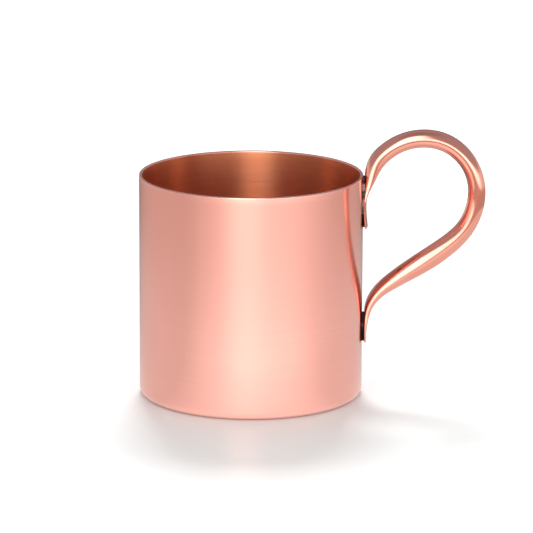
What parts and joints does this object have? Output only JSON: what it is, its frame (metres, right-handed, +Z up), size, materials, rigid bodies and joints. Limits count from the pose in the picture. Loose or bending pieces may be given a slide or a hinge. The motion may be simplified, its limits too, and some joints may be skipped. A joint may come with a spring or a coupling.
{
  "type": "copper mug",
  "caption": "Straight-sided copper mug with a tall question-mark handle of copper tube, whose two flattened ends are soldered to the wall as an upper and a lower tab.",
  "frame": {"origin": "middle of the cup's flat base, on the surface that the mug stands on", "axes": "+Z up along the cup's axis, +X from the cup towards the handle, +Y away from the viewer"},
  "size_m": [0.1314, 0.085, 0.1027],
  "materials": {
    "copper": "finely brushed and polished bare copper, brush lines running round the cup and along the handle",
    "solder": "dull grey soft solder, darkened by heat"
  },
  "bodies": {
    "root": {"cup": "copper", "handle": "copper", "upper_solder_joint": "solder", "lower_solder_joint": "solder"}
  },
  "joints": []
}
